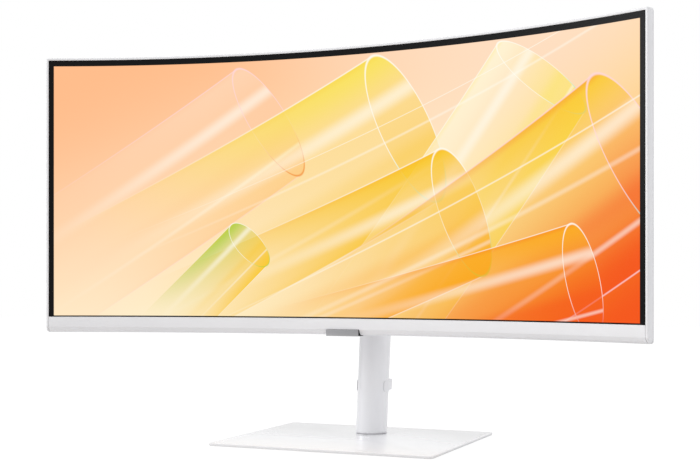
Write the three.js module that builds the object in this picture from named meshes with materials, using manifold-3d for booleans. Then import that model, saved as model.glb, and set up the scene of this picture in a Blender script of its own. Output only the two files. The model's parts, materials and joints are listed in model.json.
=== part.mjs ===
// Curved 34-inch desktop monitor on a slim height-adjustable stand.
//
// Millimetres, +Z up. The screen faces -Y and +X is to the viewer's right.
// The origin is the centre of the base plate's footprint, on the desk.
// The head is laid out around the screen's centre, where u runs along the curve,
// z up the screen and t straight back from its front surface.

import * as THREE from 'three';
import { mergeVertices } from 'three/addons/utils/BufferGeometryUtils.js';
import Module from 'manifold-3d';

const wasm = await Module();
wasm.setup();

// ---------------------------------------------------------------- driving dimensions
const GAP = 0.3;                    // air between pieces that touch on the real object

// Screen
const SCREEN_RADIUS = 1000;         // curvature of the panel's front surface
const ACTIVE_WIDTH = 797.2;         // picture width, along the curve
const ACTIVE_HEIGHT = 333.7;        // picture height
const SIDE_BORDER = 6.8;            // black border beside the picture
const TOP_BORDER = 7.6;             // and above it
const BOTTOM_BORDER = 1.5;          // and below it
const BEND_STEPS = 24;              // flat facets across the curve
const FLAT_TOLERANCE = 0.002;       // corners this close to flat are dropped

// Head outline, measured from the screen's centre
const HEAD_HALF = 408.7;            // half width, along the curve
const HEAD_TOP = 177.8;
const HEAD_BOTTOM = -189.5;
const RIM_FRONT = -0.4;             // the rim stands this far in front of the panel
const RIM_DEPTH = 10.5;             // the side strip reaches this far back
const RIM_WALL = 3;
const SKIN = 2.2;                   // wall of the moulded covers
const BULGE_BACK = 56;              // rear face of the central housing
const MOUNT_HALF = 60;              // half side of the square stand recess
const MOUNT_FLOOR = 46;             // depth of the recess floor behind the screen
const VESA_PITCH = 100;             // screw pattern of the mounting plate
const PORT_CEILING = -86;           // the sockets look down out of this plane
const PORT_WALL = 31.5;             // front wall of the socket recess
const PORT_HALF = 100;              // half width of the socket recess
const BUTTON_HALF = 9;              // half width of the hole for the release button
const CONTROL_HALF = 22.3;          // half width of the control housing under the chin
const CONTROL_TOP = -174.5;         // top of its neck behind the chin
const CONTROL_BOTTOM = -190.8;
const CHIN_FOLD = -182.4;           // where the chin's flat face turns into its bevel
const NECK_HALF = 18;               // half width of that neck
const JOG_Y = 8.2;                  // the joystick's axis, behind the panel's front
const JOG_PIVOT = -180.9;           // height of the joystick's pivot

// Stand
const BASE_WIDTH = 300;
const BASE_DEPTH = 248;
const BASE_TOP = 4;                 // top of the base plate above the desk
const BASE_THICKNESS = 3.2;
const BASE_CORNER = 5;              // radius of the plate's corners in plan
const COLUMN_Y = 55.8;              // foot of the column behind the base's centre
const COLUMN_RADIUS = 21;
const COLUMN_WALL = 2;
const COLUMN_FOOT = 1.6;            // the shells start this far above the base plate
const COLUMN_TOP = 384;
const COLUMN_LEAN = 0.108;          // the column leans back this much per unit of height
const SEAM_Y = -3.5;                // the two half shells meet in front of the column's middle
const SLOT_HALF = 7.5;              // half width of the slot for the arm
const SLOT_BOTTOM = 180;
const SLOT_TOP = 350;
const PIVOT_Y = 84;                 // tilt axis behind the screen's centre
const ARM_HALF = 6.7;               // half width of the arm's web
const BARREL_RADIUS = 11;           // the arm's hinge barrel
const BARREL_HALF = 29.5;
const SHAFT_RADIUS = 5;             // tilt shaft
const SHAFT_PLAY = 0.15;            // running clearance of the shaft in the barrel
const KNUCKLE_IN = 31;              // the bracket's ears stand between these distances
const KNUCKLE_OUT = 35;             // from the middle
const CLIP_BOTTOM = 55.7;           // cable clip, above the base plate
const CLIP_HEIGHT = 14.4;
const CLIP_FRONT = -10;             // its arms end this far ahead of the column's middle
const CLIP_ROUND = [3.4, 3.6];      // depth and height over which their ends are rounded
const CLIP_BAND = 0.9;              // thickness of its arms
const CLIP_WALL = 2.3;
const CLIP_PASSAGE = [25.4, 8.5];   // width and depth of the loop for the cables

// Where the two working frames stand in the object's frame
const SCREEN_Y = -41;
const SCREEN_Z = 328.8;

// A cutting tool reaches this far past the piece it cuts.
const FAR = 100;

// ---------------------------------------------------------------- materials
function finish(color, roughness, metalness = 0) {
  return new THREE.MeshStandardMaterial({ color, roughness, metalness });
}

const whitePlastic = finish(0xe9eaec, 0.45);
const whiteGloss = finish(0xf1f2f4, 0.22);
const whiteMetal = finish(0xe4e5e8, 0.38, 0.3);
const panelGlass = finish(0x0a0a0c, 0.3);
const clearAcrylic = finish(0xd8e4ea, 0.1);
const filmWhite = finish(0xf4f4f0, 0.5);
const steel = finish(0x9a9da0, 0.4, 0.9);
const darkSteel = finish(0x55585c, 0.45, 0.8);
const badgeMetal = finish(0x9c9c9c, 0.35, 0.8);
const blackPlastic = finish(0x141416, 0.5);
const boardGreen = finish(0x1d5a3a, 0.6);
const rubber = finish(0x2a2a2c, 0.9);

// ---------------------------------------------------------------- solids
function solidOf(geometry) {
  const bare = geometry.clone();
  for (const name of Object.keys(bare.attributes)) {
    if (name !== 'position') bare.deleteAttribute(name);
  }
  const merged = mergeVertices(bare, 1e-4);
  const vertProperties = new Float32Array(merged.attributes.position.array);
  const triVerts = new Uint32Array(merged.index.array);
  return new wasm.Manifold(new wasm.Mesh({ numProp: 3, vertProperties, triVerts }));
}

function geometryOf(solid) {
  const mesh = solid.getMesh();
  const geometry = new THREE.BufferGeometry();
  geometry.setAttribute('position', new THREE.BufferAttribute(mesh.vertProperties, 3));
  geometry.setIndex(new THREE.BufferAttribute(mesh.triVerts, 1));
  return geometry;
}

function cut(body, ...tools) {
  return geometryOf(tools.reduce((rest, tool) => rest.subtract(solidOf(tool)), solidOf(body)));
}

function join(...pieces) {
  return geometryOf(pieces.map(solidOf).reduce((whole, piece) => whole.add(piece)));
}

function common(first, second) {
  return geometryOf(solidOf(first).intersect(solidOf(second)));
}

// A box between two corners.
function block(x0, x1, y0, y1, z0, z1) {
  const geometry = new THREE.BoxGeometry(x1 - x0, y1 - y0, z1 - z0);
  return geometry.translate((x0 + x1) / 2, (y0 + y1) / 2, (z0 + z1) / 2);
}

// An upright round bar or disc.
function roundBar(radius, z0, z1, x = 0, y = 0, sides = 32) {
  const geometry = new THREE.CylinderGeometry(radius, radius, z1 - z0, sides);
  geometry.rotateX(Math.PI / 2);
  return geometry.translate(x, y, (z0 + z1) / 2);
}

// A round bar lying along X.
function crossBar(radius, x0, x1, y, z, sides = 32) {
  const geometry = new THREE.CylinderGeometry(radius, radius, x1 - x0, sides);
  geometry.rotateZ(Math.PI / 2);
  return geometry.translate((x0 + x1) / 2, y, z);
}

// A round bar lying along Y.
function depthBar(radius, y0, y1, x, z, sides = 24) {
  const geometry = new THREE.CylinderGeometry(radius, radius, y1 - y0, sides);
  return geometry.translate(x, (y0 + y1) / 2, z);
}

// A ring standing on Z, turned from its four corners.
function ring(outer, inner, z0, z1, x = 0, y = 0, sides = 32) {
  const profile = [[inner, z0], [outer, z0], [outer, z1], [inner, z1], [inner, z0]];
  const geometry = new THREE.LatheGeometry(profile.map(([r, z]) => new THREE.Vector2(r, z)), sides);
  geometry.rotateX(Math.PI / 2);
  return geometry.translate(x, y, 0);
}

function outline(points) {
  return new THREE.Shape(points.map(([a, b]) => new THREE.Vector2(a, b)));
}

function roundedOutline(width, depth, radius) {
  const shape = new THREE.Shape();
  const x = width / 2 - radius;
  const y = depth / 2 - radius;
  shape.absarc(x, y, radius, 0, Math.PI / 2);
  shape.absarc(-x, y, radius, Math.PI / 2, Math.PI);
  shape.absarc(-x, -y, radius, Math.PI, 1.5 * Math.PI);
  shape.absarc(x, -y, radius, 1.5 * Math.PI, 2 * Math.PI);
  return shape;
}

// A plan outline raised from z0 to z1.
function raised(shape, z0, z1, curveSegments = 4) {
  const geometry = new THREE.ExtrudeGeometry(shape, { depth: z1 - z0, bevelEnabled: false, curveSegments });
  return geometry.translate(0, 0, z0);
}

// A side profile, given as (y, z) corners, run along X from x0 to x1.
function profiled(points, x0, x1) {
  const geometry = new THREE.ExtrudeGeometry(outline(points), { depth: x1 - x0, bevelEnabled: false });
  const toSide = new THREE.Matrix4().set(0, 0, 1, x0, 1, 0, 0, 0, 0, 1, 0, 0, 0, 0, 0, 1);
  return geometry.applyMatrix4(toSide);
}

// A closed skin over rounded rectangles stacked along Y.
function stackedRings(levels, cornerSteps = 3) {
  const rows = levels.map(({ half, low, high, y, radius }) => {
    const corners = [[half, high, 0], [-half, high, 1], [-half, low, 2], [half, low, 3]];
    return corners.flatMap(([x, z, quarter]) => {
      const cx = x - Math.sign(x) * radius;
      const cz = quarter < 2 ? z - radius : z + radius;
      return Array.from({ length: cornerSteps + 1 }, (_, step) => {
        const angle = (quarter + step / cornerSteps) * Math.PI / 2;
        return new THREE.Vector3(cx + radius * Math.cos(angle), y, cz + radius * Math.sin(angle));
      });
    });
  });
  const count = rows[0].length;
  const index = [];
  for (let row = 0; row < rows.length - 1; row += 1) {
    for (let k = 0; k < count; k += 1) {
      const a = row * count + k;
      const b = row * count + (k + 1) % count;
      index.push(a, a + count, b, b, a + count, b + count);
    }
  }
  const last = (rows.length - 1) * count;
  for (let k = 1; k < count - 1; k += 1) {
    index.push(0, k, k + 1, last, last + k + 1, last + k);
  }
  const geometry = new THREE.BufferGeometry().setFromPoints(rows.flat());
  geometry.setIndex(index);
  return geometry;
}

// Splits flat convex faces where they cross the plane x = at, so that the solid can bend there.
function splitAt(faces, at) {
  const pieces = [];
  for (const face of faces) {
    const sides = [[], []];
    face.forEach((a, k) => {
      const b = face[(k + 1) % face.length];
      if (a.x <= at) sides[0].push(a);
      if (a.x >= at) sides[1].push(a);
      if ((a.x < at && b.x > at) || (a.x > at && b.x < at)) {
        const [low, high] = a.x < b.x ? [a, b] : [b, a];
        const crossing = low.clone().lerp(high, (at - low.x) / (high.x - low.x));
        crossing.x = at;
        sides.forEach((side) => side.push(crossing));
      }
    });
    pieces.push(...sides.filter((points) => points.length > 2));
  }
  return pieces;
}

// Wraps a flat solid, drawn as (u, t, z), round the screen's cylinder.
function bent(geometry) {
  const flat = geometryOf(solidOf(geometry)).toNonIndexed().attributes.position;
  let faces = [];
  for (let k = 0; k < flat.count; k += 3) {
    faces.push([0, 1, 2].map((n) => new THREE.Vector3().fromBufferAttribute(flat, k + n)));
  }
  for (let step = 1; step < BEND_STEPS; step += 1) {
    faces = splitAt(faces, HEAD_HALF * (2 * step / BEND_STEPS - 1));
  }
  const corners = faces.flatMap((face) => {
    const fan = Array.from({ length: face.length - 2 }, (_, k) => [face[0], face[k + 1], face[k + 2]]);
    return fan.flat();
  });
  const points = corners.map(({ x, y, z }) => {
    const angle = x / SCREEN_RADIUS;
    const reach = SCREEN_RADIUS + y;
    return new THREE.Vector3(reach * Math.sin(angle), reach * Math.cos(angle) - SCREEN_RADIUS, z);
  });
  const wrapped = new THREE.BufferGeometry().setFromPoints(points);
  return geometryOf(solidOf(wrapped).simplify(FLAT_TOLERANCE));
}

// Leans an upright solid back with the column.
function leaned(geometry) {
  const shear = new THREE.Matrix4().set(1, 0, 0, 0, 0, 1, COLUMN_LEAN, 0, 0, 0, 1, 0, 0, 0, 0, 1);
  return geometry.applyMatrix4(shear);
}

// ---------------------------------------------------------------- the assembly
const monitor = new THREE.Group();
const screenFrame = new THREE.Group();
const columnFrame = new THREE.Group();
screenFrame.position.set(0, SCREEN_Y, SCREEN_Z);
columnFrame.position.set(0, COLUMN_Y, BASE_TOP);
monitor.add(screenFrame, columnFrame);

function place(group, name, geometry, material) {
  const mesh = new THREE.Mesh(geometry, material);
  mesh.name = name;
  group.add(mesh);
}

// ---------------------------------------------------------------- display module
const PANEL_HALF = ACTIVE_WIDTH / 2 + SIDE_BORDER;
const PANEL_TOP = ACTIVE_HEIGHT / 2 + TOP_BORDER;
const PANEL_BOTTOM = -ACTIVE_HEIGHT / 2 - BOTTOM_BORDER;

// A curved sheet set in from the panel's edges by inset, from t0 to t1 behind the front surface.
function sheet(inset, t0, t1, low = PANEL_BOTTOM + inset) {
  return bent(block(-PANEL_HALF + inset, PANEL_HALF - inset, t0, t1, low, PANEL_TOP - inset));
}

function displayModule() {
  const guideBottom = PANEL_BOTTOM + 4;
  place(screenFrame, 'lcd_panel', sheet(0, 0, 1.6), panelGlass);
  place(screenFrame, 'optical_film_stack', sheet(1, 1.9, 2.7), filmWhite);
  place(screenFrame, 'light_guide_plate', sheet(1.4, 3, 5.4, guideBottom), clearAcrylic);
  place(screenFrame, 'reflector_sheet', sheet(1, 5.7, 6.1), filmWhite);
  place(screenFrame, 'panel_chassis', sheet(0.6, 6.4, 7.1), steel);
  const barHalf = PANEL_HALF - 4;
  const bar = block(-barHalf, barHalf, 3, 5.4, PANEL_BOTTOM + 0.6, guideBottom - GAP);
  place(screenFrame, 'led_bar', bent(bar), filmWhite);
}

// Three-sided rim: a wall round the panel and a ledge behind its chassis.
function middleFrame() {
  const ledgeFront = 7.4;
  const ledgeBack = 9.4;
  const ledge = 8.5;
  const inner = HEAD_HALF - RIM_WALL;
  const top = HEAD_TOP - RIM_WALL;
  const below = HEAD_BOTTOM - 10;
  const corner = 4;
  const blank = block(-HEAD_HALF, HEAD_HALF, RIM_FRONT, RIM_DEPTH, HEAD_BOTTOM, HEAD_TOP);
  const panelPocket = block(-inner, inner, -5, ledgeFront, below, top);
  const window = block(-inner + ledge, inner - ledge, -5, 20, below, top - ledge);
  const relief = block(-inner, inner, ledgeBack, 20, below, top);
  const chinSpace = block(-inner, inner, -5, 20, below, PANEL_BOTTOM - GAP);
  const corners = [-1, 1].map((side) => {
    const x = side * HEAD_HALF;
    const wedge = outline([[x + side, HEAD_BOTTOM - 1], [x - side * corner, HEAD_BOTTOM - 1],
      [x + side, HEAD_BOTTOM + corner]]);
    const bar = new THREE.ExtrudeGeometry(wedge, { depth: 30, bevelEnabled: false });
    return bar.rotateX(Math.PI / 2).translate(0, 20, 0);
  });
  return bent(cut(blank, panelPocket, window, relief, chinSpace, ...corners));
}

// Chin: a folded strip with a flat face, a bevel and a turned-under edge.
function chinBezel() {
  const top = PANEL_BOTTOM - GAP;
  const inner = RIM_FRONT + SKIN;
  const section = [[RIM_FRONT, top], [RIM_FRONT, CHIN_FOLD], [2.2, CHIN_FOLD - 4.6],
    [5.6, HEAD_BOTTOM], [RIM_DEPTH, HEAD_BOTTOM], [RIM_DEPTH, HEAD_BOTTOM + 2],
    [6.2, HEAD_BOTTOM + 2], [4, CHIN_FOLD - 3.2], [inner, CHIN_FOLD + 1], [inner, top - 2],
    [6.2, top - 2], [6.2, top]];
  const half = HEAD_HALF - RIM_WALL - GAP;
  const notch = block(-CONTROL_HALF - 0.5, CONTROL_HALF + 0.5, -5, 20, HEAD_BOTTOM - 5, CHIN_FOLD);
  return bent(cut(profiled(section.reverse(), -half, half), notch));
}

// ---------------------------------------------------------------- rear cover
const WING_BACK = 29;
const SLEEVE = { half: 195, low: -138, high: 124, y: 9, radius: 22 };
const HOUSING = { half: 168, low: -122, high: 104, y: BULGE_BACK, radius: 16 };

// A ring moved inwards by a wall thickness and shifted along the depth.
function shrunk({ half, low, high, y, radius }, wall, shift) {
  return { half: half - wall, low: low + wall, high: high - wall, y: y + shift, radius: radius - wall };
}

function wingShell() {
  const front = RIM_DEPTH + GAP;
  const rings = [
    { half: HEAD_HALF, low: HEAD_BOTTOM, high: HEAD_TOP, y: front, radius: 3 },
    { half: HEAD_HALF - 3.7, low: HEAD_BOTTOM + 3.7, high: HEAD_TOP - 3.7, y: 14.5, radius: 4 },
    { half: 380, low: -160, high: 150, y: 24, radius: 12 },
    { half: 300, low: -134, high: 124, y: WING_BACK, radius: 20 },
  ];
  const hollow = rings.map((level) => shrunk(level, SKIN, -SKIN));
  hollow[0].y = front - 1;
  return bent(cut(stackedRings(rings), stackedRings(hollow)));
}

// Vent slots along the top slope of the housing.
function ventSlots() {
  const count = 14;
  const pitch = 18;
  return Array.from({ length: count }, (_, k) => {
    const x = (k - (count - 1) / 2) * pitch;
    return block(x - 6.5, x + 6.5, 34, 37.5, 95, 140);
  });
}

function rearCover() {
  const housing = stackedRings([SLEEVE, HOUSING]);
  const inside = stackedRings([shrunk(SLEEVE, SKIN, -1), shrunk(HOUSING, SKIN, -SKIN)]);
  const shell = cut(join(wingShell(), housing), inside);
  const half = MOUNT_HALF + SKIN;
  const mountBox = block(-half, half, MOUNT_FLOOR - SKIN, BULGE_BACK, -half, half);
  const mountPocket = block(-MOUNT_HALF, MOUNT_HALF, MOUNT_FLOOR, FAR, -MOUNT_HALF, MOUNT_HALF);
  const portSide = PORT_HALF + SKIN;
  const portBlank = block(-portSide, portSide, PORT_WALL - SKIN, FAR, -150, PORT_CEILING + SKIN);
  const portBox = common(portBlank, housing);
  const portPocket = block(-PORT_HALF, PORT_HALF, PORT_WALL, FAR, -150, PORT_CEILING);
  const portRim = 4;
  const plateDepth = [PORT_WALL + 0.6, BULGE_BACK - 3];
  const portWindow = block(portRim - PORT_HALF, PORT_HALF - portRim, ...plateDepth, -90, PORT_CEILING + 4);
  const buttonHole = block(-BUTTON_HALF, BUTTON_HALF, 50, 60, -79, -64.4);
  const lockSlot = block(118, 125, 50, 60, -80, -77);
  const notchHalf = CONTROL_HALF + 0.5;
  const notchBack = 16.5;
  const below = HEAD_BOTTOM - 5;
  const controlNotch = block(-notchHalf, notchHalf, -5, notchBack, below, CHIN_FOLD);
  const neckHalf = NECK_HALF + 0.4;
  const switchNotch = block(-neckHalf, neckHalf, 9, notchBack, below, CONTROL_TOP + GAP);
  const walled = join(shell, mountBox, portBox);
  const open = cut(walled, mountPocket, portPocket, portWindow, controlNotch, switchNotch);
  return cut(open, buttonHole, lockSlot, ...ventSlots());
}

// ---------------------------------------------------------------- electronics
function boardBracket() {
  const section = [[14, -62], [15.2, -62], [15.2, 88.8], [27, 88.8], [27, 90], [14, 90]];
  const feet = [-1, 1].map((side) => block(side * 120 - 8, side * 120 + 8, 15.2, 28, -60, -58));
  return join(profiled(section.reverse(), -158, 158), ...feet);
}

// A socket that looks down: a body with one clear cavity from its mouth.
function socket(x, width, depth, back, wall = 0.6) {
  const bottom = PORT_CEILING + 0.4;
  const top = PORT_CEILING + 20;
  const middle = back - depth / 2;
  const body = block(x - width / 2, x + width / 2, middle - depth / 2, middle + depth / 2, bottom, top);
  const cavity = block(x - width / 2 + wall, x + width / 2 - wall,
    middle - depth / 2 + wall, middle + depth / 2 - wall, bottom - 1, top - 4);
  return cut(body, cavity);
}

const SOCKET_BACK = 46;
const SOCKETS = [
  { name: 'ac_inlet', x: 76, width: 27, depth: 19.5, back: 52, wall: 1.6, material: blackPlastic },
  { name: 'hdmi_port', x: 42, width: 15.6, depth: 6.4, back: SOCKET_BACK, material: steel },
  { name: 'display_port', x: 20, width: 17.2, depth: 6.4, back: SOCKET_BACK, material: steel },
  { name: 'usb_a_port_1', x: -19, width: 14.4, depth: 6.8, back: SOCKET_BACK, material: steel },
  { name: 'usb_a_port_2', x: -38, width: 14.4, depth: 6.8, back: SOCKET_BACK, material: steel },
  { name: 'lan_port', x: -60, width: 16, depth: 13.6, back: 50, wall: 1.2, material: steel },
];

function usbCPort() {
  const shape = roundedOutline(9.6, 3.9, 1.9);
  const body = raised(shape, PORT_CEILING + 0.4, PORT_CEILING + 12);
  const cavity = raised(roundedOutline(8.4, 2.7, 1.3), PORT_CEILING, PORT_CEILING + 9);
  return cut(body, cavity).translate(0, SOCKET_BACK - 3, 0);
}

function headphoneJack() {
  const body = roundBar(3.4, PORT_CEILING + 0.4, PORT_CEILING + 14, -81, SOCKET_BACK - 4, 24);
  const hole = roundBar(1.8, PORT_CEILING, PORT_CEILING + 12, -81, SOCKET_BACK - 4, 24);
  return cut(body, hole);
}

// Steel plate over the recess ceiling, with a window round each socket.
function portPlate() {
  const low = PORT_CEILING + SKIN + GAP;
  const plate = block(-PORT_HALF + 1, PORT_HALF - 1, PORT_WALL - 0.5, 52.9, low, low + 1);
  const windows = SOCKETS.map(({ x, width, depth, back }) => block(x - width / 2 - GAP,
    x + width / 2 + GAP, back - depth - GAP, back + GAP, low - 2, low + 3));
  const slot = block(-5.2, 5.2, SOCKET_BACK - 5.4, SOCKET_BACK - 0.6, low - 2, low + 3);
  const round = roundBar(3.8, low - 2, low + 3, -81, SOCKET_BACK - 4, 24);
  return cut(plate, ...windows, slot, round);
}

function electronics() {
  const boardFront = 33;
  const boardBack = 34.6;
  place(screenFrame, 'board_bracket', boardBracket(), steel);
  place(screenFrame, 'main_board', block(-96, 52, boardFront, boardBack, -64, 70), boardGreen);
  place(screenFrame, 'power_board', block(70, 150, boardFront, boardBack, -64, 70), boardGreen);
  place(screenFrame, 'power_transformer', block(84, 118, 35, 50.5, 10, 42), blackPlastic);
  place(screenFrame, 'port_plate', portPlate(), steel);
  for (const { name, x, width, depth, back, wall, material } of SOCKETS) {
    place(screenFrame, name, socket(x, width, depth, back, wall), material);
  }
  place(screenFrame, 'usb_c_port', usbCPort(), steel);
  place(screenFrame, 'headphone_jack', headphoneJack(), blackPlastic);
  for (const [name, side] of [['speaker_left', -1], ['speaker_right', 1]]) {
    const box = block(side * 265 - 45, side * 265 + 45, 11, 16.2, -170, -150);
    const cone = depthBar(8, 8, 12.5, side * 265, -160, 20);
    place(screenFrame, name, bent(cut(box, cone)), blackPlastic);
  }
}

// ---------------------------------------------------------------- controls under the chin
function controlHousing() {
  const lower = block(-CONTROL_HALF, CONTROL_HALF, -0.9, 14.6, CONTROL_BOTTOM, CHIN_FOLD - GAP);
  const upper = block(-NECK_HALF, NECK_HALF, 2.8, 13.9, CHIN_FOLD - GAP, CONTROL_TOP);
  const well = roundBar(5.2, CONTROL_BOTTOM - 1, CONTROL_TOP - 2, 0, JOG_Y);
  const lensSeat = block(13, 17, 4, 7.4, CONTROL_BOTTOM - 1, CONTROL_BOTTOM + 1.4);
  return cut(join(lower, upper), well, lensSeat);
}

// A shallow dished knob, hidden behind the badge.
function jogCap() {
  const profile = [[0, -190.1], [2.2, -190.1], [3.4, -190.6], [4, -190.2],
    [4, -185.9], [3.3, -185.2], [0, -185.2]];
  const points = profile.map(([r, z]) => new THREE.Vector2(r, z));
  return new THREE.LatheGeometry(points, 24).rotateX(Math.PI / 2).translate(0, JOG_Y, 0);
}

function controls() {
  const badge = block(-CONTROL_HALF, CONTROL_HALF, -2.4, -1.2, CONTROL_BOTTOM - 0.2, CHIN_FOLD - 0.2);
  place(screenFrame, 'badge_plate', badge, badgeMetal);
  place(screenFrame, 'control_housing', controlHousing(), blackPlastic);
  const lens = block(13.3, 16.7, 4.3, 7.1, CONTROL_BOTTOM + 0.1, CONTROL_BOTTOM + 1.1);
  place(screenFrame, 'status_lens', lens, clearAcrylic);
  place(screenFrame, 'jog_switch', roundBar(4.4, -178.6, -176.8, 0, JOG_Y, 24), darkSteel);
  const gimbal = ring(4.8, 2.8, JOG_PIVOT - 0.7, JOG_PIVOT + 0.7, 0, JOG_Y, 24);
  place(screenFrame, 'jog_gimbal', gimbal, darkSteel);
  place(screenFrame, 'jog_stick', roundBar(1.3, -184.6, -179.2, 0, JOG_Y, 16), darkSteel);
  place(screenFrame, 'jog_cap', jogCap(), blackPlastic);
}

// ---------------------------------------------------------------- stand mount and tilt hinge
function vesaPlate() {
  const half = MOUNT_HALF - 2;
  const reach = VESA_PITCH / 2;
  const plate = block(-half, half, MOUNT_FLOOR + GAP, MOUNT_FLOOR + 2.3, -half, half);
  const holes = [[-1, -1], [-1, 1], [1, -1], [1, 1]];
  return cut(plate, ...holes.map(([x, z]) => depthBar(2.2, 40, 60, x * reach, z * reach, 20)));
}

// Plate with two ears that carry the tilt shaft.
function mountBracket() {
  const front = MOUNT_FLOOR + 2.6;
  const back = front + 2.5;
  const half = MOUNT_HALF - 4;
  const ears = [-1, 1].flatMap((side) => {
    const x0 = Math.min(side * KNUCKLE_IN, side * KNUCKLE_OUT);
    const x1 = Math.max(side * KNUCKLE_IN, side * KNUCKLE_OUT);
    const web = profiled([[front, -26], [front, 26], [PIVOT_Y, 10.5], [PIVOT_Y, -10.5]].reverse(), x0, x1);
    return [web, crossBar(10.5, x0, x1, PIVOT_Y, 0)];
  });
  const plate = block(-half, half, front, back, -half, half);
  return cut(join(plate, ...ears), crossBar(SHAFT_RADIUS + GAP, -50, 50, PIVOT_Y, 0));
}

// Moulded cover over the bracket plate, with a window for the ears.
function bracketCover() {
  const front = MOUNT_FLOOR + 5.4;
  const half = MOUNT_HALF - 1;
  const levels = [
    { half, low: -half, high: half, y: front, radius: 3 },
    { half, low: -half, high: half, y: BULGE_BACK, radius: 3 },
    { half: half - 6, low: -half + 6, high: half - 6, y: BULGE_BACK + 3, radius: 3 },
  ];
  return cut(stackedRings(levels), block(-37.5, 37.5, 40, 70, -28, 28));
}

function tiltArm() {
  const rise = 20;
  const back = COLUMN_Y - SCREEN_Y + COLUMN_LEAN * (SCREEN_Z - BASE_TOP) - 12 - GAP;
  const web = [[PIVOT_Y, BARREL_RADIUS - 1], [PIVOT_Y + 14, rise], [back + COLUMN_LEAN * rise, rise],
    [back - COLUMN_LEAN * rise, -rise], [PIVOT_Y + 14, -rise], [PIVOT_Y, 1 - BARREL_RADIUS]];
  const barrel = crossBar(BARREL_RADIUS, -BARREL_HALF, BARREL_HALF, PIVOT_Y, 0);
  const bore = crossBar(SHAFT_RADIUS + SHAFT_PLAY, -40, 40, PIVOT_Y, 0);
  return cut(join(profiled(web.reverse(), -ARM_HALF, ARM_HALF), barrel), bore);
}

function tiltHinge() {
  place(screenFrame, 'vesa_plate', vesaPlate(), steel);
  place(screenFrame, 'mount_bracket', mountBracket(), darkSteel);
  place(screenFrame, 'bracket_cover', bracketCover(), whitePlastic);
  place(screenFrame, 'tilt_arm', tiltArm(), whiteMetal);
  const shaft = crossBar(SHAFT_RADIUS, -KNUCKLE_OUT - GAP, KNUCKLE_OUT + 2.2, PIVOT_Y, 0);
  const head = crossBar(8, -KNUCKLE_OUT - 2.2, -KNUCKLE_OUT - GAP, PIVOT_Y, 0);
  place(screenFrame, 'tilt_shaft', join(shaft, head), steel);
  for (const [name, side] of [['friction_washer_left', -1], ['friction_washer_right', 1]]) {
    const middle = side * (BARREL_HALF + KNUCKLE_IN) / 2;
    const disc = crossBar(9.5, middle - 0.45, middle + 0.45, PIVOT_Y, 0);
    const hole = crossBar(SHAFT_RADIUS + GAP, middle - 2, middle + 2, PIVOT_Y, 0);
    place(screenFrame, name, cut(disc, hole), darkSteel);
  }
  const nut = crossBar(8, KNUCKLE_OUT + GAP, KNUCKLE_OUT + 2, PIVOT_Y, 0, 6);
  const nutBore = crossBar(SHAFT_RADIUS + GAP, 30, 50, PIVOT_Y, 0);
  place(screenFrame, 'tilt_nut', cut(nut, nutBore), steel);
  const button = block(-8.6, 8.6, 51.5, BULGE_BACK + 1, -78.6, -68.2);
  const grip = block(-6, 6, BULGE_BACK, BULGE_BACK + 2, -73.4, -71.4);
  place(screenFrame, 'release_button', join(button, grip), whitePlastic);
}

// ---------------------------------------------------------------- column
// A round bar along the column, this far inside its surface.
function columnBar(inward, z0, z1) {
  return roundBar(COLUMN_RADIUS - inward, z0, z1, 0, 0, 48);
}

function columnShells() {
  const tube = cut(columnBar(0, COLUMN_FOOT, COLUMN_TOP), columnBar(COLUMN_WALL, -1, COLUMN_TOP + 1));
  const rearSide = block(-FAR, FAR, SEAM_Y - GAP, FAR, -10, COLUMN_TOP + 10);
  const frontSide = block(-FAR, FAR, -FAR, SEAM_Y, -10, COLUMN_TOP + 10);
  const slot = block(-SLOT_HALF, SLOT_HALF, -FAR, -10, SLOT_BOTTOM, SLOT_TOP);
  place(columnFrame, 'column_front_shell', leaned(cut(tube, rearSide, slot)), whiteMetal);
  place(columnFrame, 'column_rear_shell', leaned(cut(tube, frontSide)), whiteMetal);
}

function columnCap() {
  const lid = columnBar(0, COLUMN_TOP + GAP, COLUMN_TOP + 3);
  return leaned(join(lid, columnBar(COLUMN_WALL + GAP, COLUMN_TOP - 6, COLUMN_TOP + 1)));
}

// Cable clip: two arms round the column and a loop behind, open at the back for the cable.
function cableClip() {
  const top = CLIP_BOTTOM + CLIP_HEIGHT;
  const spine = COLUMN_RADIUS + GAP + CLIP_WALL;
  const half = CLIP_PASSAGE[0] / 2;
  const back = spine + CLIP_PASSAGE[1] + CLIP_WALL;
  const band = columnBar(-GAP - CLIP_BAND, CLIP_BOTTOM, top);
  const loop = raised(roundedOutline(2 * (half + CLIP_WALL), back, 4), CLIP_BOTTOM, top);
  loop.translate(0, back / 2, 0);
  const passage = block(-half, half, spine, back - CLIP_WALL, 0, FAR);
  const mouth = block(-3.5, 3.5, back - 5, back + 5, 0, FAR);
  const [depth, height] = CLIP_ROUND;
  const turn = [0, 1, 2, 3, 4].map((step) => step * Math.PI / 8);
  const drawn = turn.map((angle) => [
    CLIP_FRONT + depth * (1 - Math.sin(angle)),
    height * (1 - Math.cos(angle)),
  ]);
  const upper = drawn.map(([y, inset]) => [y, top - inset]);
  const lower = drawn.map(([y, inset]) => [y, CLIP_BOTTOM + inset]).reverse();
  const side = [[FAR, CLIP_BOTTOM], [FAR, top], ...upper, ...lower];
  const whole = cut(join(band, loop), columnBar(-GAP, 0, FAR), passage, mouth);
  return leaned(common(whole, profiled(side, -FAR, FAR)));
}

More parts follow.
